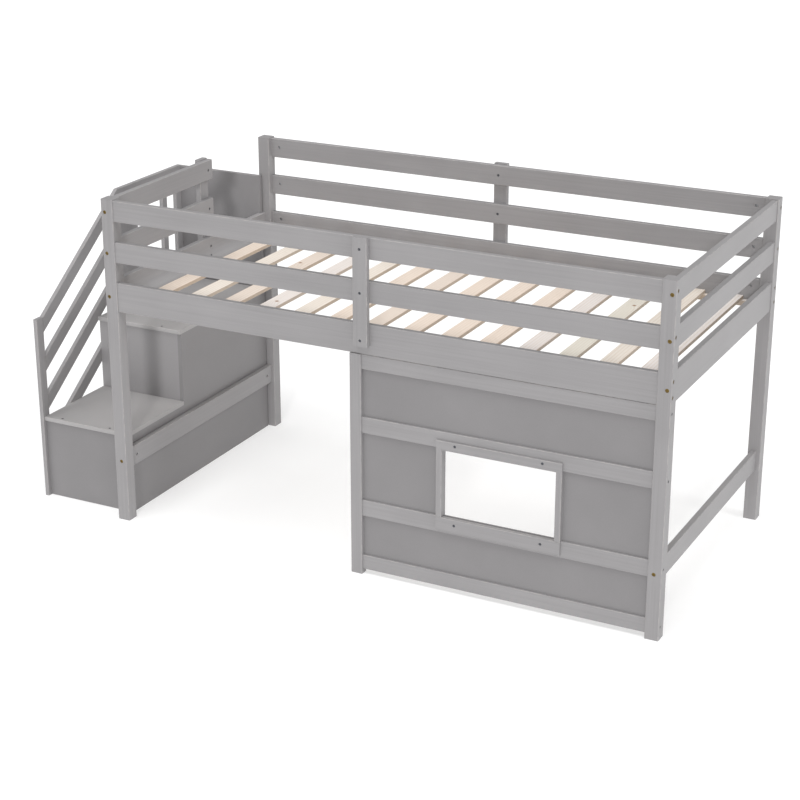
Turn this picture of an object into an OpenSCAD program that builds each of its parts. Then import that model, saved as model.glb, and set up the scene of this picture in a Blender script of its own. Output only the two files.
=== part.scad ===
// Low loft bed with a playhouse front and a storage staircase.
// X runs along the bed, Y from front to back, Z up; the origin is the middle of the footprint, on the floor.

/* [Bed frame] */
// Length of the bed over its corner posts
bed_l = 1980; // [1900:5:2100]
// Width of the bed over its corner posts
bed_w = 1040; // [1000:5:1120]
// Side of the square corner posts
post_w = 45; // [40:1:60]
// Height of the corner posts
post_h = 1146; // [1100:1:1250]
// Height of the top edge of the guard rails
guard_top = 1142; // [1090:1:1240]
// Thickness of every rail board
rail_t = 20; // [16:1:22]
// Height of a guard rail board
rail_h = 70; // [60:1:80]
// Clear gap between two rail boards
rail_gap = 70; // [60:1:75]
// Height of the side rails that carry the slats
side_h = 100; // [90:1:130]
// How far the rails stand back from the outer faces of the posts
rail_inset = 4; // [2:1:8]
// Height of the middle of the low end rails
low_rail_z = 220; // [150:1:300]
// How far the low end rails stand back from the outer faces of the posts
low_inset = 15; // [12:1:20]
// Width of the upright boards that stiffen the guard rails
guard_post_w = 50; // [40:1:70]
// Place of the two long guards' uprights along the bed
guard_post_x = 968; // [800:1:1100]
// Length of the left guard, from the front post to the way in
left_guard_l = 595; // [500:1:620]

/* [Slats] */
// Number of slats
slat_n = 14; // [10:1:18]
// Width of a slat
slat_w = 59; // [50:1:80]
// Thickness of a slat
slat_t = 13; // [12:1:20]
// Height of the slats' top faces, which the mattress lies on
deck_z = 800; // [790:1:815]
// Middle of the first slat, from the left end of the bed
slat_first = 112; // [90:1:120]
// Side of the square ledger strips that the slats rest on
ledger_w = 20; // [18:1:25]

/* [Playhouse panel] */
// Left edge of the panel's stile along the bed
stile_x = 921; // [860:1:980]
// Width of the stile
stile_w = 40; // [35:1:50]
// Depth of the stile
stile_d = 30; // [24:1:34]
// How far the panel's rails stand back from the stile's face
panel_rail_y = 6; // [6:1:12]
// Height of the panel's top and bottom rails
edge_rail_h = 50; // [45:1:60]
// Height of the panel's two middle rails
cross_rail_h = 55; // [50:1:60]
// Clearance under the bottom rail
bottom_gap = 17; // [10:1:30]
// Lower edge of the lower middle rail
lower_rail_z = 207; // [200:1:215]
// Lower edge of the upper middle rail
upper_rail_z = 495; // [490:1:505]
// Thickness of the thin infill boards
infill_t = 6; // [5:1:8]
// Depth of the grooves that hold the infill boards
groove_d = 6; // [4:1:8]
// Left edge of the window opening along the bed
window_x = 1246; // [1200:1:1300]
// Width of the window opening
window_w = 384; // [340:1:420]
// Width of the window's upright frame pieces
window_stile_w = 20; // [16:1:26]
// Depth of the window's upright frame pieces
window_stile_d = 32; // [28:1:36]
// Height of the head board
window_head_h = 32; // [28:1:36]
// Height of the sill board
window_sill_h = 46; // [30:1:50]
// Thickness of the head and sill boards
window_board_t = 8; // [6:1:9]

/* [Staircase] */
// Outer face of the staircase guard, left of the bed
stair_left = -351; // [-400:1:-320]
// Thickness of every staircase board
board_t = 15; // [12:1:18]
// Front face of the staircase's front panel
stair_front = 65; // [60:1:80]
// Back face of the staircase's back panel
stair_back = 990; // [980:1:993]
// Height of the first step
step_1 = 300; // [280:1:320]
// Height of the second step, the landing
step_2 = 570; // [550:1:590]
// Front face of the riser between the two steps
riser_y = 410; // [380:1:430]
// How far a step stands proud of the board below it
nosing = 8; // [5:1:12]
// Height of the back panel
stair_back_h = 1005; // [980:1:1040]
// Front edge of the front newel
newel_y = 48; // [46:1:55]
// Width of the newels
newel_w = 37; // [32:1:45]
// Height of the front newel
newel_h = 662; // [640:1:680]
// Height of the landing guard's top edge
landing_guard_h = 1009; // [1000:1:1040]
// Front edge of the wide upright where the sloping rails end
upright_y = 560; // [540:1:580]
// Width of that upright
upright_w = 121; // [90:1:130]
// Front edge of the baluster
baluster_y = 846; // [800:1:860]
// Width of the baluster
baluster_w = 32; // [28:1:40]
// Width of the staircase guard's rails
stair_rail_w = 45; // [40:1:50]
// Height between two sloping rails
slope_pitch = 142; // [130:1:150]
// Height between the third sloping rail and the fourth
last_slope_pitch = 165; // [140:1:175]
// Height of the strips under the steps' open edges
apron_h = 60; // [50:1:70]
// Height of the storage floor above the ground
storage_floor = 20; // [15:1:40]

/* [Hardware] */
// Radius of the eased long edges of the boards
edge_r = 2.5; // [1.5:0.5:3]
// Diameter of the connector bolts' shanks
bolt_d = 6; // [5:1:8]
// Diameter of the connector bolts' flat heads
bolt_head_d = 12; // [11:1:15]
// Diameter of the barrel nuts
nut_d = 10; // [9:1:12]
// Diameter of the wooden dowels
dowel_d = 8; // [6:1:8]
// Diameter of the wood screws' heads
screw_head_d = 9; // [7:1:10]

/* [Hidden] */
$fn = 32;
paint = "#a3a1a2";
paint_shade = "#949294";
pine = "#e3d3bd";
bolt_brass = "#b08d57";
steel = "#8b8d90";

// Heights of the guard rails' and side rails' lower edges, and the middles of the rails
top_rail_z = guard_top - rail_h;
mid_rail_z = top_rail_z - rail_gap - rail_h;
side_rail_z = mid_rail_z - rail_gap - side_h;
top_c = top_rail_z + rail_h / 2;
mid_c = mid_rail_z + rail_h / 2;
side_c = side_rail_z + side_h / 2;
low_h = rail_h;

// Bolts of the long and the end rails pass each other at different heights in a post
stagger = 5;
pair = 25;
dowel_off = 18;
rail_line = rail_inset + rail_t / 2;
low_line = low_inset + rail_t / 2;
bolt_grip = 48;
nut_depth = 35;
head_t = 3;
head_sink = 1.5;
counterbore = head_t + head_sink;
nut_l = 12;
dowel_l = 30;
hole_play = 0.5;
screw_l = 34;
window_screw_l = 22;
post_screw_l = 85;
step_screw_l = 40;
screw_sink = 1;

// Staircase
stair_in = stair_left + board_t;
stair_right = low_inset;
side_in = stair_right - board_t;
carcass_front = stair_front + board_t;
carcass_back = stair_back - board_t;
rise_1 = step_1 - board_t;
rise_2 = step_2 - board_t;
newel_back = newel_y + newel_w;
back_newel_y = carcass_back - newel_w;
slope = atan((landing_guard_h - newel_h) / (upright_y - newel_back));
landing_rail_z = landing_guard_h - stair_rail_w;
shelf_z = rise_1 + 10;

// Playhouse panel
panel_top = side_rail_z - 1;
panel_l = stile_x + stile_w;
panel_r = bed_l - post_w;
top_edge_z = panel_top - edge_rail_h;
bottom_top = bottom_gap + edge_rail_h;
lower_top = lower_rail_z + cross_rail_h;
groove_y = panel_rail_y + (rail_t - infill_t) / 2 + 1;
window_r = window_x + window_w;
window_face = panel_rail_y - window_board_t;
head_z = upper_rail_z - 4;
sill_z = lower_top - window_sill_h;

// The footprint's middle, which is the origin
guard_face = rail_inset - rail_t;
mid_x = (bed_l + stair_left) / 2;
mid_y = bed_w / 2;

// A drilling site: point on the post's outer face, direction of the bolt, side of the barrel nut, dowel offset
function end_sites(x, y, turn, side, heights) =
    [for (h = heights) [[x, y, h[0]], turn, side, h[1]]];
guard_heights = [[top_c - stagger, stagger + dowel_off], [mid_c - stagger, stagger + dowel_off]];
end_side_heights = [[side_c, pair]];
low_heights = [[low_rail_z, 20]];
long_heights = [[top_c + stagger, -stagger - dowel_off], [mid_c + stagger, -stagger - dowel_off],
    [side_c + pair, -pair], [side_c - pair, 0]];

left_front = concat(end_sites(rail_line, 0, 90, -1, concat(guard_heights, end_side_heights)),
    end_sites(low_line, 0, 90, -1, low_heights));
left_back = concat(end_sites(rail_line, bed_w, 270, 1, end_side_heights),
    end_sites(low_line, bed_w, 270, 1, low_heights));
right_front = concat(end_sites(bed_l - rail_line, 0, 90, 1, concat(guard_heights, end_side_heights)),
    end_sites(bed_l - low_line, 0, 90, 1, low_heights));
right_back = concat(end_sites(bed_l - rail_line, bed_w, 270, -1, concat(guard_heights, end_side_heights)),
    end_sites(bed_l - low_line, bed_w, 270, -1, low_heights));
front_left = end_sites(0, rail_line, 0, 1, long_heights);
front_right = end_sites(bed_l, rail_line, 180, -1, long_heights);
back_left = end_sites(0, bed_w - rail_line, 0, -1, long_heights);
back_right = end_sites(bed_l, bed_w - rail_line, 180, 1, long_heights);
all_sites = concat(left_front, left_back, right_front, right_back, front_left, front_right, back_left, back_right);

// A screw site: point on the face, the way the screw goes in as two turns, and its length
FROM_FRONT = [0, 90];
FROM_RIGHT = [0, 180];
FROM_ABOVE = [90, 0];
guard_screws = concat(
    [for (z = [top_c, mid_c, side_c]) [[guard_post_x, guard_face, z], FROM_FRONT, screw_l]],
    [for (z = [top_c, mid_c, side_c]) [[guard_post_x, bed_w - rail_inset - rail_t, z], FROM_FRONT, screw_l]],
    [for (z = [top_c, mid_c, side_c + 17, side_c - 17])
        [[rail_inset + rail_t, post_w + left_guard_l - guard_post_w / 2, z], FROM_RIGHT, screw_l]]);
window_screws = [for (x = [window_x + 45, window_r - 45], z = [head_z + 20, lower_top - 20])
    [[x, window_face, z], FROM_FRONT, window_screw_l]];
panel_rail_mids = [bottom_gap + edge_rail_h / 2, lower_rail_z + cross_rail_h / 2,
    upper_rail_z + cross_rail_h / 2, top_edge_z + edge_rail_h / 2];
post_screws = [for (z = panel_rail_mids) [[bed_l, panel_rail_y + rail_t / 2, z], FROM_RIGHT, post_screw_l]];
step_screws = concat(
    [for (x = [stair_left + 80, -70]) [[x, stair_front + board_t / 2, step_1], FROM_ABOVE, step_screw_l]],
    [for (x = [stair_left + 80, -70]) [[x, riser_y + board_t / 2, step_2], FROM_ABOVE, step_screw_l]],
    [for (y = [riser_y + 90, carcass_back - 90]) [[side_in + board_t / 2, y, step_2], FROM_ABOVE, step_screw_l]]);
screw_sites = concat(guard_screws, window_screws, post_screws, step_screws);

// Moves a piece drawn from the bed's front left corner into the frame of the whole object
module placed() {
    translate([-mid_x, -mid_y, 0]) children();
}

// Cross-section of a board with eased edges
module eased(a, b) {
    translate([edge_r, 0]) square([a - 2 * edge_r, b]);
    translate([0, edge_r]) square([a, b - 2 * edge_r]);
    for (x = [edge_r, a - edge_r], y = [edge_r, b - edge_r])
        translate([x, y]) circle(edge_r);
}

// Boards that run along X, Y and Z, each from its lowest corner
module board_x(at, size) {
    translate(at) rotate([90, 0, 90]) linear_extrude(size[0]) eased(size[1], size[2]);
}

module board_y(at, size) {
    translate([at[0], at[1] + size[1], at[2]]) rotate([90, 0, 0]) linear_extrude(size[1]) eased(size[0], size[2]);
}

module board_z(at, size) {
    translate(at) linear_extrude(size[2]) eased(size[0], size[1]);
}

// Turns a child that points up into the direction of a bolt site
module at_site(s) {
    translate(s[0]) rotate([0, 90, s[1]]) children();
}

// Turns a child that points up into the direction of a screw site
module at_screw(s) {
    translate(s[0]) rotate([0, 90 + s[1][0], s[1][1]]) children();
}

// Holes for the bolt, its sunk head, the barrel nut and the dowel at each site
module drilling(sites) {
    for (s = sites)
        at_site(s) {
            translate([0, 0, -1]) cylinder(h = counterbore + 1, d = bolt_head_d + 1);
            cylinder(h = post_w + bolt_grip + 4, d = bolt_d + 1);
            translate([0, s[2] * (rail_t - nut_l) / 4, post_w + nut_depth])
                rotate([90, 0, 0]) cylinder(h = rail_t / 2 + nut_l / 2 + 2, d = nut_d + hole_play, center = true);
            if (s[3] != 0)
                translate([-s[3], 0, post_w - dowel_l / 2 - 1])
                    cylinder(h = dowel_l + 2, d = dowel_d + hole_play);
        }
}

// Countersunk pilot holes for the wood screws
module pilots(sites) {
    for (s = sites)
        at_screw(s) {
            translate([0, 0, -1]) cylinder(h = screw_sink + 1, d = screw_head_d + 0.8);
            translate([0, 0, screw_sink]) cylinder(h = 3.4, d1 = screw_head_d + 0.4, d2 = 4);
            cylinder(h = s[2] + 1, d = 3.8);
        }
}

module post(x, y, sites) {
    color(paint) placed() difference() {
        board_z([x, y, 0], [post_w, post_w, post_h]);
        drilling(sites);
        pilots(post_screws);
    }
}

module post_front_left() {
    post(0, 0, concat(left_front, front_left));
}

module post_front_right() {
    post(bed_l - post_w, 0, concat(right_front, front_right));
}

module post_back_left() {
    post(0, bed_w - post_w, concat(left_back, back_left));
}

module post_back_right() {
    post(bed_l - post_w, bed_w - post_w, concat(right_back, back_right));
}

// A rail between two posts along the bed
module long_rail(y, z, h, sites) {
    color(paint) placed() difference() {
        board_x([post_w, y, z], [bed_l - 2 * post_w, rail_t, h]);
        drilling(sites);
        pilots(guard_screws);
    }
}

module front_top_rail() {
    long_rail(rail_inset, top_rail_z, rail_h, concat(front_left, front_right));
}

module front_mid_rail() {
    long_rail(rail_inset, mid_rail_z, rail_h, concat(front_left, front_right));
}

module front_side_rail() {
    long_rail(rail_inset, side_rail_z, side_h, concat(front_left, front_right));
}

module back_top_rail() {
    long_rail(bed_w - rail_inset - rail_t, top_rail_z, rail_h, concat(back_left, back_right));
}

module back_mid_rail() {
    long_rail(bed_w - rail_inset - rail_t, mid_rail_z, rail_h, concat(back_left, back_right));
}

module back_side_rail() {
    long_rail(bed_w - rail_inset - rail_t, side_rail_z, side_h, concat(back_left, back_right));
}

// A rail across the end of the bed
module end_rail(x, z, l, h, sites) {
    color(paint) placed() difference() {
        board_y([x, post_w, z], [rail_t, l, h]);
        drilling(sites);
        pilots(guard_screws);
    }
}

end_l = bed_w - 2 * post_w;
left_rail_x = rail_inset;
right_rail_x = bed_l - rail_inset - rail_t;

module right_top_rail() {
    end_rail(right_rail_x, top_rail_z, end_l, rail_h, concat(right_front, right_back));
}

module right_mid_rail() {
    end_rail(right_rail_x, mid_rail_z, end_l, rail_h, concat(right_front, right_back));
}

module right_side_rail() {
    end_rail(right_rail_x, side_rail_z, end_l, side_h, concat(right_front, right_back));
}

module right_low_rail() {
    end_rail(bed_l - low_inset - rail_t, low_rail_z - low_h / 2, end_l, low_h, concat(right_front, right_back));
}

module left_top_rail() {
    end_rail(left_rail_x, top_rail_z, left_guard_l, rail_h, left_front);
}

module left_mid_rail() {
    end_rail(left_rail_x, mid_rail_z, left_guard_l, rail_h, left_front);
}

module left_side_rail() {
    end_rail(left_rail_x, side_rail_z, end_l, side_h, concat(left_front, left_back));
}

module left_low_rail() {
    end_rail(low_inset, low_rail_z - low_h / 2, end_l, low_h, concat(left_front, left_back));
}

// Upright boards outside the guard rails; they reach a little above the rails
guard_post_top = guard_top + 3;
guard_post_z = side_rail_z + 30;

module front_guard_post() {
    color(paint) placed() difference() {
        board_z([guard_post_x - guard_post_w / 2, guard_face, guard_post_z],
            [guard_post_w, rail_t, guard_post_top - guard_post_z]);
        pilots(guard_screws);
    }
}

module back_guard_post() {
    color(paint) placed() difference() {
        board_z([guard_post_x - guard_post_w / 2, bed_w - rail_inset, guard_post_z],
            [guard_post_w, rail_t, guard_post_top - guard_post_z]);
        pilots(guard_screws);
    }
}

module left_guard_post() {
    color(paint) placed() difference() {
        board_z([guard_face, post_w + left_guard_l - guard_post_w, side_rail_z],
            [rail_t, guard_post_w, guard_post_top - side_rail_z]);
        pilots(guard_screws);
    }
}

// Ledger strips inside the side rails, and the slats on them
ledger_z = deck_z - slat_t - ledger_w;
inner_front = rail_inset + rail_t;
inner_back = bed_w - inner_front;

module front_ledger() {
    color(pine) placed()
        board_x([post_w, inner_front, ledger_z], [bed_l - 2 * post_w, ledger_w, ledger_w]);
}

module back_ledger() {
    color(pine) placed()
        board_x([post_w, inner_back - ledger_w, ledger_z], [bed_l - 2 * post_w, ledger_w, ledger_w]);
}

slat_play = 2;
slat_pitch = (bed_l - slat_first - slat_first - 20) / (slat_n - 1);

module slats() {
    color(pine) placed()
        for (i = [0 : slat_n - 1])
            board_y([slat_first - slat_w / 2 + i * slat_pitch, inner_front + slat_play, deck_z - slat_t],
                [slat_w, inner_back - inner_front - 2 * slat_play, slat_t]);
}

// Grooves that hold the infill boards, in the plane of the panel
module groove(x, z, w, h) {
    translate([x, groove_y, z]) cube([w, infill_t, h]);
}

module panel_stile() {
    color(paint) placed() difference() {
        board_z([stile_x, 0, 0], [stile_w, stile_d, panel_top]);
        groove(panel_l - groove_d, bottom_top - groove_d, groove_d + 1, top_edge_z - bottom_top + 2 * groove_d);
    }
}

module panel_rail(z, h, grooves) {
    color(paint) placed() difference() {
        board_x([panel_l, panel_rail_y, z], [panel_r - panel_l, rail_t, h]);
        for (g = grooves)
            groove(panel_l - 1, g, panel_r - panel_l + 2, groove_d + 1);
        pilots(concat(post_screws, window_screws));
    }
}

module panel_top_rail() {
    panel_rail(top_edge_z, edge_rail_h, [top_edge_z - 1]);
}

module panel_upper_rail() {
    panel_rail(upper_rail_z, cross_rail_h, [upper_rail_z - 1, upper_rail_z + cross_rail_h - groove_d]);
}

module panel_lower_rail() {
    panel_rail(lower_rail_z, cross_rail_h, [lower_rail_z - 1, lower_top - groove_d]);
}

module panel_bottom_rail() {
    panel_rail(bottom_gap, edge_rail_h, [bottom_top - groove_d]);
}

// Thin boards that sit in the grooves
module infill(x0, x1, z0, z1) {
    color(paint_shade) placed()
        translate([x0, groove_y + 0.1, z0]) cube([x1 - x0, infill_t - 0.2, z1 - z0]);
}

infill_x = panel_l - groove_d + 1;
tongue = groove_d - 1;

module infill_top() {
    infill(infill_x, panel_r, upper_rail_z + cross_rail_h - tongue, top_edge_z + tongue);
}

module infill_left() {
    infill(infill_x, window_x - window_stile_w + tongue, lower_top - tongue, upper_rail_z + tongue);
}

module infill_right() {
    infill(window_r + window_stile_w - tongue, panel_r, lower_top - tongue, upper_rail_z + tongue);
}

module infill_bottom() {
    infill(infill_x, panel_r, bottom_top - tongue, lower_rail_z + tongue);
}

// Window frame: two deep uprights between the middle rails, and two boards on the rails' faces
module window_stile(x, groove_x) {
    color(paint) placed() difference() {
        board_z([x, window_face, lower_top], [window_stile_w, window_stile_d, upper_rail_z - lower_top]);
        groove(groove_x, lower_top - 1, groove_d + 1, upper_rail_z - lower_top + 2);
    }
}

module window_left_stile() {
    window_stile(window_x - window_stile_w, window_x - window_stile_w - 1);
}

module window_right_stile() {
    window_stile(window_r, window_r + window_stile_w - groove_d);
}

module window_board(z, h) {
    difference() {
        board_x([window_x - window_stile_w, window_face, z], [window_w + 2 * window_stile_w, window_board_t, h]);
        pilots(window_screws);
    }
}

module window_head() {
    color(paint) placed() difference() {
        window_board(head_z, window_head_h);
        for (x = [window_x - window_stile_w - 1, window_r])
            translate([x, window_face - 1, head_z - 1])
                cube([window_stile_w + 1, window_board_t + 2, upper_rail_z - head_z + 1]);
    }
}

module window_sill() {
    color(paint) placed() window_board(sill_z, window_sill_h);
}

// Uprights of the staircase guard
module guard_upright(y, z, w, h) {
    color(paint) placed() board_z([stair_left, y, z], [board_t, w, h]);
}

module stair_front_newel() {
    guard_upright(newel_y, 0, newel_w, newel_h);
}

module stair_upright() {
    guard_upright(upright_y, rise_2 - apron_h, upright_w, landing_rail_z - rise_2 + apron_h);
}

module stair_back_newel() {
    guard_upright(back_newel_y, 0, newel_w, landing_rail_z);
}

module stair_baluster() {
    guard_upright(baluster_y, rise_2 - apron_h, baluster_w, landing_rail_z - rise_2 + apron_h);
}

// Sloping rails, cut plumb where they meet the newel and the upright
module slope_rail(drop) {
    run = upright_y - newel_back;
    color(paint) placed() intersection() {
        translate([0, newel_back, newel_h - drop]) rotate([slope, 0, 0])
            board_y([stair_left, -stair_rail_w, -stair_rail_w], [board_t, 2 * run, stair_rail_w]);
        translate([stair_left - 1, newel_back, rise_1 - apron_h]) cube([board_t + 2, run, landing_guard_h]);
    }
}

module stair_hand_rail() {
    slope_rail(0);
}

module stair_slope_rail_2() {
    slope_rail(slope_pitch);
}

module stair_slope_rail_3() {
    slope_rail(2 * slope_pitch);
}

module stair_slope_rail_4() {
    slope_rail(2 * slope_pitch + last_slope_pitch);
}

module stair_landing_rail() {
    color(paint) placed()
        board_y([stair_left, upright_y, landing_rail_z], [board_t, carcass_back - upright_y, stair_rail_w]);
}

// Staircase boxes; they are open towards the left, where things are stored
module stair_front_panel() {
    color(paint_shade) placed() difference() {
        board_x([stair_in, stair_front, 0], [stair_right - stair_in, board_t, rise_1]);
        pilots(step_screws);
    }
}

module stair_side_panel() {
    outline = [[carcass_front, 0], [carcass_back, 0], [carcass_back, rise_2],
        [riser_y, rise_2], [riser_y, rise_1], [carcass_front, rise_1]];
    color(paint_shade) placed() difference() {
        translate([side_in, 0, 0]) rotate([90, 0, 90]) linear_extrude(board_t) polygon(outline);
        pilots(step_screws);
    }
}

module stair_back_panel() {
    color(paint_shade) placed()
        board_x([stair_left, carcass_back, 0], [stair_right - stair_left, board_t, stair_back_h]);
}

module stair_divider() {
    color(paint) placed() difference() {
        board_x([stair_in, riser_y, storage_floor + board_t],
            [side_in - stair_in, board_t, rise_2 - storage_floor - board_t]);
        pilots(step_screws);
    }
}

module stair_step() {
    color(paint) placed() difference() {
        board_x([stair_in, stair_front - nosing, rise_1],
            [stair_right - stair_in, riser_y - stair_front + nosing, board_t]);
        pilots(step_screws);
    }
}

module stair_landing() {
    color(paint) placed() difference() {
        board_x([stair_in, riser_y - nosing, rise_2],
            [stair_right - stair_in, carcass_back - riser_y + nosing, board_t]);
        pilots(step_screws);
    }
}

module stair_floor() {
    color(paint_shade) placed()
        board_y([stair_in, carcass_front, storage_floor], [side_in - stair_in, carcass_back - carcass_front, board_t]);
}

module stair_shelf() {
    color(paint_shade) placed()
        board_y([stair_in, riser_y + board_t, shelf_z],
            [side_in - stair_in, carcass_back - riser_y - board_t, board_t]);
}

module stair_lower_apron() {
    color(paint) placed()
        board_y([stair_in, carcass_front, rise_1 - apron_h], [board_t, riser_y - carcass_front, apron_h]);
}

module stair_upper_apron() {
    color(paint) placed()
        board_y([stair_in, riser_y + board_t, rise_2 - apron_h],
            [board_t, carcass_back - riser_y - board_t, apron_h]);
}

// Connector bolts with flat heads and hexagon sockets
module connector_bolts() {
    color(bolt_brass) placed()
        for (s = all_sites)
            at_site(s) difference() {
                union() {
                    translate([0, 0, head_sink]) cylinder(h = head_t, d = bolt_head_d);
                    translate([0, 0, head_sink]) cylinder(h = post_w + bolt_grip - head_sink, d = bolt_d);
                }
                translate([0, 0, -1]) cylinder(h = counterbore, d = 4.6, $fn = 6);
            }
}

// Barrel nuts, set from the inner faces of the rails
module barrel_nuts() {
    color(steel) placed()
        for (s = all_sites)
            at_site(s) translate([0, 0, post_w + nut_depth]) difference() {
                rotate([90, 0, 0]) cylinder(h = nut_l, d = nut_d, center = true);
                cylinder(h = nut_d + 2, d = bolt_d + 0.1, center = true);
            }
}

module dowels() {
    color(pine) placed()
        for (s = all_sites)
            if (s[3] != 0)
                at_site(s) translate([-s[3], 0, post_w - dowel_l / 2]) cylinder(h = dowel_l, d = dowel_d);
}

// Countersunk wood screws
module wood_screws() {
    color(steel) placed()
        for (s = screw_sites)
            at_screw(s) difference() {
                union() {
                    translate([0, 0, screw_sink]) cylinder(h = 3, d1 = screw_head_d, d2 = 3.6);
                    translate([0, 0, screw_sink + 2.9]) cylinder(h = s[2] - screw_sink - 3, d = 3.6);
                }
                for (a = [0, 90])
                    rotate([0, 0, a]) translate([-2.6, -0.5, 0]) cube([5.2, 1, screw_sink + 1.8]);
            }
}

post_front_left();
post_front_right();
post_back_left();
post_back_right();
front_top_rail();
front_mid_rail();
front_side_rail();
back_top_rail();
back_mid_rail();
back_side_rail();
right_top_rail();
right_mid_rail();
right_side_rail();
right_low_rail();
left_top_rail();
left_mid_rail();
left_side_rail();
left_low_rail();
front_guard_post();
back_guard_post();
left_guard_post();
front_ledger();
back_ledger();
slats();
panel_stile();
panel_top_rail();
panel_upper_rail();
panel_lower_rail();
panel_bottom_rail();
infill_top();
infill_left();
infill_right();
infill_bottom();
window_left_stile();
window_right_stile();
window_head();
window_sill();
stair_front_newel();
stair_upright();
stair_back_newel();
stair_baluster();
stair_hand_rail();
stair_slope_rail_2();
stair_slope_rail_3();
stair_slope_rail_4();
stair_landing_rail();
stair_front_panel();
stair_side_panel();
stair_back_panel();
stair_divider();
stair_step();
stair_landing();
stair_floor();
stair_shelf();
stair_lower_apron();
stair_upper_apron();
connector_bolts();
barrel_nuts();
dowels();
wood_screws();
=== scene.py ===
import math

import bmesh
import bpy
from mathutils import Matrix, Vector

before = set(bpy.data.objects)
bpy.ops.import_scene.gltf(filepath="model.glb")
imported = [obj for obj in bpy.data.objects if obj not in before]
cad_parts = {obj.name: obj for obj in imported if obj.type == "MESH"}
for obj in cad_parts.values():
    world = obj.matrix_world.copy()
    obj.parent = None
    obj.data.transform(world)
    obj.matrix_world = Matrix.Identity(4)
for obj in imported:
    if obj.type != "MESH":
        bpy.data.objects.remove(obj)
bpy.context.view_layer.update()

MM = 0.001


# --- Corner posts -----------------------------------------------------------------------
# Four square posts of solid pine, planed, eased on the arrises and sprayed with grey
# satin paint. Each is drilled for the connector bolts that pull the rails against it.

def linear(text):
    """An sRGB hex colour as linear light."""
    channels = [int(text[i:i + 2], 16) / 255 for i in (1, 3, 5)]
    bent = [c / 12.92 if c < 0.04045 else ((c + 0.055) / 1.055) ** 2.4 for c in channels]
    return tuple(bent) + (1.0,)


def add(tree, kind, settings=None, **links):
    """Adds a node: its settings by attribute name, its sockets by name or number."""
    node = tree.nodes.new("ShaderNode" + kind)
    for name, value in (settings or {}).items():
        setattr(node, name, value)
    for name, value in links.items():
        key = int(name[1:]) if name[0] == "i" and name[1:].isdigit() else name.replace("_", " ")
        if isinstance(value, bpy.types.NodeSocket):
            tree.links.new(value, node.inputs[key])
        else:
            node.inputs[key].default_value = value
    return node


def new_finish(name):
    """A named material with an empty Principled shader, its tree and the object coordinates."""
    material = bpy.data.materials.new(name)
    material.use_nodes = True
    tree = material.node_tree
    shader = tree.nodes["Principled BSDF"]
    place = add(tree, "TexCoord").outputs["Object"]
    return material, tree, shader, place


def dress(material, *nodes):
    """Gives the material to every slot of these parts of the frame."""
    for node in nodes:
        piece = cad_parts[node]
        if not piece.material_slots:
            piece.data.materials.append(material)
        for held in piece.material_slots:
            held.material = material


def rubbed_arris(tree, place, turn=0.0):
    """1 where a corner is rounded and gets rubbed, 0 on the flats.

    Patches about 22 mm long break it up along the edge.
    """
    facing = add(tree, "NewGeometry").outputs["Normal"]
    if turn:
        facing = add(tree, "VectorRotate", {"rotation_type": "X_AXIS"},
                     Vector=facing, Angle=-turn).outputs[0]
    size = add(tree, "VectorMath", {"operation": "ABSOLUTE"}, i0=facing).outputs[0]
    parts = add(tree, "SeparateXYZ", i0=size)
    widest = add(tree, "Math", {"operation": "MAXIMUM"}, i0=parts.outputs[0], i1=parts.outputs[1])
    widest = add(tree, "Math", {"operation": "MAXIMUM"}, i0=widest.outputs[0], i1=parts.outputs[2])
    corner = add(tree, "MapRange", Value=widest.outputs[0], From_Min=0.985, From_Max=0.86)
    patches = add(tree, "TexNoise", Vector=place, Scale=1 / (22 * MM), Detail=3.0)
    broken = add(tree, "MapRange", Value=patches.outputs[0], From_Min=0.40, From_Max=0.62)
    return add(tree, "Math", {"operation": "MULTIPLY"}, i0=corner.outputs[0], i1=broken.outputs[0]).outputs[0]


SPRAYED_GREY = "#8f8d8e"
RUBBED_GREY = "#b9b4af"
STREAK_WIDE = 7.0 * MM
STREAK_LONG = 420 * MM
SPRAY_PEEL = 3.0 * MM


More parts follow.
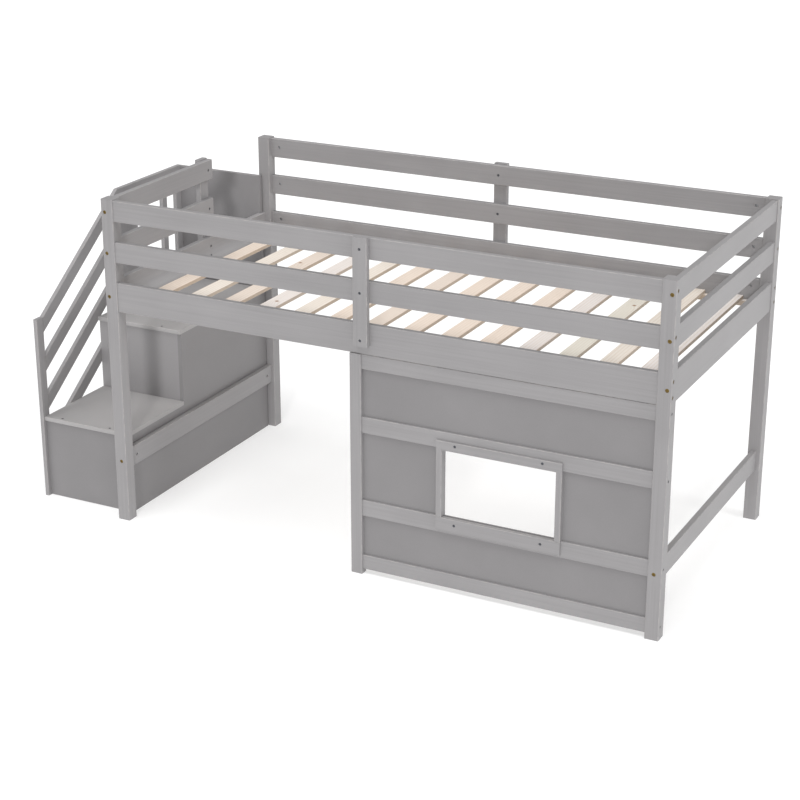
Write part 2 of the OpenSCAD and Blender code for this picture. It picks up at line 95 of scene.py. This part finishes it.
def sprayed_pine(name, along, turn=0.0):
    """Grey satin paint on planed pine: the grain shows through as faint raised streaks.

    The streaks are 2 to 3 mm wide on the real boards; they are drawn 7 mm wide so that they
    show. Turn is the board's slope, for a board that runs up along Y.
    """
    material, tree, shader, place = new_finish(name)
    stretch = [1 / STREAK_WIDE] * 3
    stretch["XYZ".index(along)] = 1 / STREAK_LONG
    turned = add(tree, "Mapping", Vector=place, Rotation=(-turn, 0, 0)).outputs[0] if turn else place
    grain_at = add(tree, "Mapping", Vector=turned, Scale=stretch)
    grain = add(tree, "TexNoise", Vector=grain_at.outputs[0],
                Scale=1.0, Detail=4.0, Roughness=0.55, Distortion=0.25)
    cloud = add(tree, "TexNoise", Vector=place, Scale=1 / (260 * MM), Detail=2.0)
    peel = add(tree, "TexNoise", Vector=place, Scale=1 / SPRAY_PEEL, Detail=2.0)
    both = add(tree, "Math", {"operation": "MULTIPLY"}, i0=cloud.outputs[0], i1=0.45)
    both = add(tree, "Math", {"operation": "MULTIPLY_ADD"},
               i0=grain.outputs[0], i1=0.55, i2=both.outputs[0])
    tone = add(tree, "ValToRGB", Fac=both.outputs[0])
    for stop, at, gain in zip(tone.color_ramp.elements, (0.30, 0.70), (0.90, 1.08)):
        stop.position = at
        stop.color = [c * gain for c in linear(SPRAYED_GREY)[:3]] + [1]
    worn = add(tree, "Math", {"operation": "MULTIPLY"}, i0=rubbed_arris(tree, place, turn), i1=0.40)
    paint = add(tree, "Mix", {"data_type": "RGBA"},
                i0=worn.outputs[0], i6=tone.outputs[0], i7=linear(RUBBED_GREY))
    rough = add(tree, "MapRange", Value=grain.outputs[0], To_Min=0.40, To_Max=0.54)
    relief = add(tree, "Math", {"operation": "MULTIPLY_ADD"}, i0=peel.outputs[0], i1=0.25, i2=grain.outputs[0])
    bump = add(tree, "Bump", Height=relief.outputs[0], Strength=0.35, Distance=0.5 * MM)
    tree.links.new(paint.outputs[2], shader.inputs["Base Color"])
    tree.links.new(rough.outputs[0], shader.inputs["Roughness"])
    tree.links.new(bump.outputs[0], shader.inputs["Normal"])
    return material


upright_pine = sprayed_pine("grey_sprayed_pine_upright", "Z")
dress(upright_pine, "post_front_left", "post_front_right", "post_back_left", "post_back_right")


# --- Rails ------------------------------------------------------------------------------
# Pine boards between the posts: two guard rails and a wide side rail on each side, and a
# low rail across each end. Same paint; the grain runs the long way of each board.

long_pine = sprayed_pine("grey_sprayed_pine_long", "X")
cross_pine = sprayed_pine("grey_sprayed_pine_cross", "Y")
dress(long_pine, "front_top_rail", "front_mid_rail", "front_side_rail")
dress(long_pine, "back_top_rail", "back_mid_rail", "back_side_rail")
dress(cross_pine, "right_top_rail", "right_mid_rail", "right_side_rail", "right_low_rail")
dress(cross_pine, "left_top_rail", "left_mid_rail", "left_side_rail", "left_low_rail")


# --- Guard uprights ---------------------------------------------------------------------
# Short painted pine boards screwed across the outside of the guard rails, one in the
# middle of each long side and one at the way in from the staircase.

dress(upright_pine, "front_guard_post", "back_guard_post", "left_guard_post")


# --- Ledgers and slats ------------------------------------------------------------------
# Fourteen bare planed pine slats lie on square pine ledgers. Each comes from another
# board, so they differ in tone from cream to pinkish and greenish; a few have small knots.

BED_LEFT_END = -814.5 * MM
SLAT_FIRST = BED_LEFT_END + 112 * MM
SLAT_PITCH = 133.538 * MM
SLAT_TONES = ("#e2dad0", "#dfd3ca", "#dbd7cc", "#e1d3c6", "#e0dad6", "#dbcfc4")
LATE_WOOD = "#c6ad93"
FIBRE_BROWN = "#b89d84"
KNOT_BROWN = "#8d6647"
# Painted shade: the colour mixed onto the side faces of slats, ledgers and dowels
SIDE_SHADE_BROWN = "#9b8873"
KNOT_SHARE = 0.84
BAND_PITCH = 11 * MM
BAND_BOW = 12 * MM


def planed_pine(name, along):
    """Bare pine: soft darker late-wood bands, and knots with grain bent round them.

    Real bands are 3 to 6 mm apart; they are drawn 11 mm apart so that they show.
    """
    material, tree, shader, place = new_finish(name)
    across = "Y" if along == "X" else "X"
    parts = add(tree, "SeparateXYZ", i0=place)
    board = add(tree, "MapRange", {"clamp": False}, Value=parts.outputs[0],
                From_Min=SLAT_FIRST - SLAT_PITCH / 2, From_Max=SLAT_FIRST + SLAT_PITCH / 2)
    number = add(tree, "Math", {"operation": "FLOOR"}, i0=board.outputs[0])
    chance = add(tree, "TexWhiteNoise", {"noise_dimensions": "1D"}, W=number.outputs[0])
    offset = add(tree, "VectorMath", {"operation": "SCALE"}, i0=chance.outputs[1], Scale=3.0)
    moved = add(tree, "VectorMath", {"operation": "ADD"}, i0=place, i1=offset.outputs[0])

    # Knots: one cell for each 60 mm of width and 500 mm of length; its middle may hold a knot
    cell = [60 * MM, 500 * MM, 90 * MM] if along == "Y" else [500 * MM, 60 * MM, 90 * MM]
    cells = add(tree, "Mapping", Vector=moved.outputs[0], Scale=[1 / c for c in cell])
    middle = add(tree, "TexVoronoi", {"voronoi_dimensions": "3D"},
                 Vector=cells.outputs[0], Scale=1.0, Randomness=0.8)
    apart = add(tree, "VectorMath", {"operation": "SUBTRACT"},
                i0=cells.outputs[0], i1=middle.outputs["Position"])
    metres = add(tree, "VectorMath", {"operation": "MULTIPLY"},
                 i0=apart.outputs[0], i1=(cell[0], cell[1], 0.0))
    reach = add(tree, "VectorMath", {"operation": "LENGTH"}, i0=metres.outputs[0])
    colours = add(tree, "SeparateXYZ", i0=middle.outputs["Color"])
    chosen = add(tree, "Math", {"operation": "GREATER_THAN"}, i0=colours.outputs[0], i1=KNOT_SHARE)
    knot = add(tree, "MapRange", Value=reach.outputs["Value"], From_Min=9 * MM, From_Max=3 * MM)
    knot = add(tree, "Math", {"operation": "MULTIPLY"}, i0=knot.outputs[0], i1=chosen.outputs[0])
    bend = add(tree, "MapRange", Value=reach.outputs["Value"], From_Min=40 * MM, From_Max=4 * MM)
    bend = add(tree, "Math", {"operation": "MULTIPLY"}, i0=bend.outputs[0], i1=chosen.outputs[0])

    # Bands run the long way; they bow aside at a knot
    slow = [1.0, 1.0, 1.0]
    slow["XYZ".index(along)] = 0.05
    band_at = add(tree, "Mapping", Vector=moved.outputs[0], Scale=slow)
    push = add(tree, "Math", {"operation": "MULTIPLY"}, i0=bend.outputs[0], i1=BAND_BOW)
    push = add(tree, "CombineXYZ", **{across: push.outputs[0]})
    pushed = add(tree, "VectorMath", {"operation": "ADD"}, i0=band_at.outputs[0], i1=push.outputs[0])
    bands = add(tree, "TexWave", {"bands_direction": across}, Vector=pushed.outputs[0],
                Scale=math.pi / 10 / BAND_PITCH, Distortion=5.0, Detail=3.0, Detail_Scale=0.6)
    fine = [1 / (2.2 * MM)] * 3
    fine["XYZ".index(along)] = 1 / (120 * MM)
    fibre_at = add(tree, "Mapping", Vector=moved.outputs[0], Scale=fine)
    fibre = add(tree, "TexNoise", Vector=fibre_at.outputs[0], Scale=1.0, Detail=3.0)

    tones = add(tree, "ValToRGB", Fac=chance.outputs[0])
    tones.color_ramp.interpolation = "CONSTANT"
    held = tones.color_ramp.elements
    for i, shade in enumerate(SLAT_TONES):
        at = i / len(SLAT_TONES)
        stop = held[i] if i < 2 else held.new(at)
        stop.position = at
        stop.color = linear(shade)
    ring = add(tree, "MapRange", Value=bands.outputs[1], From_Min=0.45, From_Max=1.0, To_Max=0.30)
    banded = add(tree, "Mix", {"data_type": "RGBA"},
                 i0=ring.outputs[0], i6=tones.outputs[0], i7=linear(LATE_WOOD))
    streak = add(tree, "MapRange", Value=fibre.outputs[0], From_Min=0.45, From_Max=0.75, To_Max=0.16)
    grained = add(tree, "Mix", {"data_type": "RGBA"},
                  i0=streak.outputs[0], i6=banded.outputs[2], i7=linear(FIBRE_BROWN))
    spotted = add(tree, "Mix", {"data_type": "RGBA"},
                  i0=knot.outputs[0], i6=grained.outputs[2], i7=linear(KNOT_BROWN))

    # The two side faces are painted darker than the top and bottom faces: painted shade, as if the sides stood
    # in shadow
    facing = add(tree, "SeparateXYZ", i0=add(tree, "NewGeometry").outputs["Normal"])
    sideways = add(tree, "Math", {"operation": "ABSOLUTE"}, i0=facing.outputs["XY".index(across)])
    painted_side_shade = add(tree, "MapRange", Value=sideways.outputs[0], From_Min=0.5, From_Max=0.9, To_Max=0.75)
    side_shaded = add(tree, "Mix", {"data_type": "RGBA"},
                i0=painted_side_shade.outputs[0], i6=spotted.outputs[2], i7=linear(SIDE_SHADE_BROWN))
    rough = add(tree, "MapRange", Value=fibre.outputs[0], To_Min=0.55, To_Max=0.72)
    bump = add(tree, "Bump", Height=fibre.outputs[0], Strength=0.30, Distance=0.4 * MM)
    tree.links.new(side_shaded.outputs[2], shader.inputs["Base Color"])
    tree.links.new(rough.outputs[0], shader.inputs["Roughness"])
    tree.links.new(bump.outputs[0], shader.inputs["Normal"])
    return material


dress(planed_pine("planed_pine_ledger", "X"), "front_ledger", "back_ledger")
dress(planed_pine("planed_pine_slat", "Y"), "slats")


# --- Playhouse panel --------------------------------------------------------------------
# A frame of painted pine: one stile beside the doorway and four rails screwed to the right
# post. Thin boards with a smooth rolled coat sit in grooves between the rails.

ROLLED_GREY = "#807e7f"
BOARD_EDGE_GREY = "#b3aca4"
BOARD_CLOUD = 310 * MM
ROLLER_PEEL = 5 * MM


def rolled_board(name, shade=ROLLED_GREY):
    """Grey paint rolled on smooth fibreboard: no grain, a fine orange peel and faint clouds.

    The peel is under 1 mm on the real boards and is drawn 5 mm wide so that it shows.
    """
    material, tree, shader, place = new_finish(name)
    cloud = add(tree, "TexNoise", Vector=place, Scale=1 / BOARD_CLOUD, Detail=3.0, Roughness=0.6)
    peel = add(tree, "TexNoise", Vector=place, Scale=1 / ROLLER_PEEL, Detail=3.0, Roughness=0.6)
    both = add(tree, "Math", {"operation": "MULTIPLY"}, i0=peel.outputs[0], i1=0.25)
    both = add(tree, "Math", {"operation": "MULTIPLY_ADD"},
               i0=cloud.outputs[0], i1=0.75, i2=both.outputs[0])
    tone = add(tree, "ValToRGB", Fac=both.outputs[0])
    for stop, at, gain in zip(tone.color_ramp.elements, (0.30, 0.70), (0.93, 1.06)):
        stop.position = at
        stop.color = [c * gain for c in linear(shade)[:3]] + [1]
    worn = add(tree, "Math", {"operation": "MULTIPLY"}, i0=rubbed_arris(tree, place), i1=0.30)
    paint = add(tree, "Mix", {"data_type": "RGBA"},
                i0=worn.outputs[0], i6=tone.outputs[0], i7=linear(BOARD_EDGE_GREY))
    rough = add(tree, "MapRange", Value=cloud.outputs[0], To_Min=0.42, To_Max=0.52)
    bump = add(tree, "Bump", Height=peel.outputs[0], Strength=0.20, Distance=0.3 * MM)
    tree.links.new(paint.outputs[2], shader.inputs["Base Color"])
    tree.links.new(rough.outputs[0], shader.inputs["Roughness"])
    tree.links.new(bump.outputs[0], shader.inputs["Normal"])
    return material


rolled = rolled_board("grey_rolled_fibreboard")
dress(upright_pine, "panel_stile")
dress(long_pine, "panel_top_rail", "panel_upper_rail", "panel_lower_rail", "panel_bottom_rail")
dress(rolled, "infill_top", "infill_left", "infill_right", "infill_bottom")


# --- Window frame -----------------------------------------------------------------------
# Two deep painted pine sides between the middle rails, with a head and a sill board
# screwed flat on the rails' faces.

dress(upright_pine, "window_left_stile", "window_right_stile")
dress(long_pine, "window_head", "window_sill")


# --- Staircase boxes --------------------------------------------------------------------
# Two steps that are storage boxes of painted fibreboard, open to the left. The treads are
# thicker painted boards, screwed down through their tops. The treads and the riser are painted
# lighter than the other boards: painted light, for the extra light they catch.

# Painted light: lighter greys for the riser and treads, standing in for the light they catch
RISER_PAINTED_LIGHT_GREY = "#908e8f"
TREAD_PAINTED_LIGHT_GREY = "#a19f9f"
dress(rolled, "stair_front_panel", "stair_side_panel", "stair_back_panel")
dress(rolled_board("grey_rolled_riser_painted_light", RISER_PAINTED_LIGHT_GREY), "stair_divider")
dress(rolled, "stair_floor", "stair_shelf")
dress(rolled_board("grey_rolled_tread_painted_light", TREAD_PAINTED_LIGHT_GREY), "stair_step", "stair_landing")
dress(cross_pine, "stair_lower_apron", "stair_upper_apron")


# --- Staircase guard --------------------------------------------------------------------
# Painted pine newels and uprights in one plane, with four parallel sloping rails and a
# level rail over the landing. The sloping boards' grain follows their slope.

SLOPE_RUN = 560 - 85
SLOPE_RISE = 1009 - 662
sloping_pine = sprayed_pine("grey_sprayed_pine_sloping", "Y", turn=math.atan2(SLOPE_RISE, SLOPE_RUN))
dress(upright_pine, "stair_front_newel", "stair_upright", "stair_back_newel", "stair_baluster")
dress(sloping_pine, "stair_hand_rail", "stair_slope_rail_2", "stair_slope_rail_3", "stair_slope_rail_4")
dress(cross_pine, "stair_landing_rail")


# --- Bolts, nuts, dowels and screws -----------------------------------------------------
# Yellow-passivated connector bolts in bright zinc barrel nuts, fluted beech dowels hidden
# in the joints, and dark-passivated wood screws; the bolts' and screws' colours are darkened
# further as painted shade of their recesses. Plated steel: tight highlights, faint mottling.

# Bolt and screw greys are darkened past the plating's own colour: painted shade of their recesses
YELLOW_ZINC_WITH_SHADE = "#7f6c42"
BRIGHT_ZINC = "#a9abae"
DARK_ZINC_WITH_SHADE = "#63656a"
CRYSTAL = 1.5 * MM


def plated(name, shade, roughness):
    """Zinc plating on pressed steel, with a crystalline mottle about 1.5 mm across."""
    material, tree, shader, place = new_finish(name)
    mottle = add(tree, "TexNoise", Vector=place, Scale=1 / CRYSTAL, Detail=2.0)
    tone = add(tree, "ValToRGB", Fac=mottle.outputs[0])
    for stop, at, gain in zip(tone.color_ramp.elements, (0.3, 0.7), (0.82, 1.08)):
        stop.position = at
        stop.color = [min(c * gain, 1) for c in linear(shade)[:3]] + [1]
    rough = add(tree, "MapRange", Value=mottle.outputs[0],
                To_Min=roughness - 0.06, To_Max=roughness + 0.08)
    bump = add(tree, "Bump", Height=mottle.outputs[0], Strength=0.1, Distance=0.1 * MM)
    shader.inputs["Metallic"].default_value = 1.0
    tree.links.new(tone.outputs[0], shader.inputs["Base Color"])
    tree.links.new(rough.outputs[0], shader.inputs["Roughness"])
    tree.links.new(bump.outputs[0], shader.inputs["Normal"])
    return material


dress(plated("yellow_zinc_with_painted_shade", YELLOW_ZINC_WITH_SHADE, 0.42), "connector_bolts")
dress(plated("bright_zinc_plating", BRIGHT_ZINC, 0.36), "barrel_nuts")
dress(plated("dark_zinc_with_painted_shade", DARK_ZINC_WITH_SHADE, 0.42), "wood_screws")
dress(planed_pine("turned_beech_dowel", "X"), "dowels")


# --- Floor, light and camera ------------------------------------------------------------
# A pale seamless floor, a firm light from in front, wide softer ones from the right and
# from overhead. Even white air fills the shadows.

FLOOR_HALF = 60.0
FLOOR_WHITE = "#c4c4c4"
FLOOR_GLOW = 0.48
AIR_STRENGTH = 0.32
LIGHT_AWAY = 8.0
LENS_MM = 84.7
SENSOR_MM = 36.0
CAMERA_AT = (2.7775, -5.400, 2.731)
CAMERA_DOWN = 20.95
CAMERA_ROUND = 27.05
SEES_TO = 200.0

floor_mesh = bmesh.new()
bmesh.ops.create_grid(floor_mesh, x_segments=1, y_segments=1, size=FLOOR_HALF)
floor_data = bpy.data.meshes.new("studio_floor")
floor_mesh.to_mesh(floor_data)
floor_mesh.free()
studio_floor = bpy.data.objects.new("studio_floor", floor_data)
bpy.context.scene.collection.objects.link(studio_floor)
pale, _, pale_shader, _ = new_finish("pale_studio_floor")
pale_shader.inputs["Base Color"].default_value = linear(FLOOR_WHITE)
pale_shader.inputs["Roughness"].default_value = 0.9
pale_shader.inputs["Specular IOR Level"].default_value = 0.1
pale_shader.inputs["Emission Color"].default_value = linear("#ffffff")
pale_shader.inputs["Emission Strength"].default_value = FLOOR_GLOW
floor_data.materials.append(pale)


def soft_light(name, azimuth, elevation, spread, strength):
    """Even light from far away. Angles in degrees: azimuth 0 is in front, 90 on the right."""
    a, e = math.radians(azimuth), math.radians(elevation)
    away = Vector((math.sin(a) * math.cos(e), -math.cos(a) * math.cos(e), math.sin(e)))
    lamp = bpy.data.lights.new(name, "SUN")
    lamp.angle = math.radians(spread)
    lamp.energy = strength
    holder = bpy.data.objects.new(name, lamp)
    holder.location = away * LIGHT_AWAY
    holder.rotation_euler = away.to_track_quat("Z", "Y").to_euler()
    bpy.context.scene.collection.objects.link(holder)


soft_light("front_light", 19, 18, 6, 1.20)
soft_light("side_light", 84, 28, 22, 1.18)
soft_light("top_light", 340, 76, 50, 2.10)

world = bpy.data.worlds.new("studio_air")
world.use_nodes = True
air = world.node_tree.nodes["Background"]
air.inputs["Color"].default_value = (1, 1, 1, 1)
air.inputs["Strength"].default_value = AIR_STRENGTH
bpy.context.scene.world = world
bpy.context.scene.view_settings.view_transform = "Standard"

lens = bpy.data.cameras.new("catalogue_camera")
lens.lens = LENS_MM
lens.sensor_width = SENSOR_MM
lens.clip_end = SEES_TO
camera = bpy.data.objects.new("catalogue_camera", lens)
camera.location = CAMERA_AT
camera.rotation_euler = (math.radians(90 - CAMERA_DOWN), 0.0, math.radians(CAMERA_ROUND))
bpy.context.scene.collection.objects.link(camera)
bpy.context.scene.camera = camera
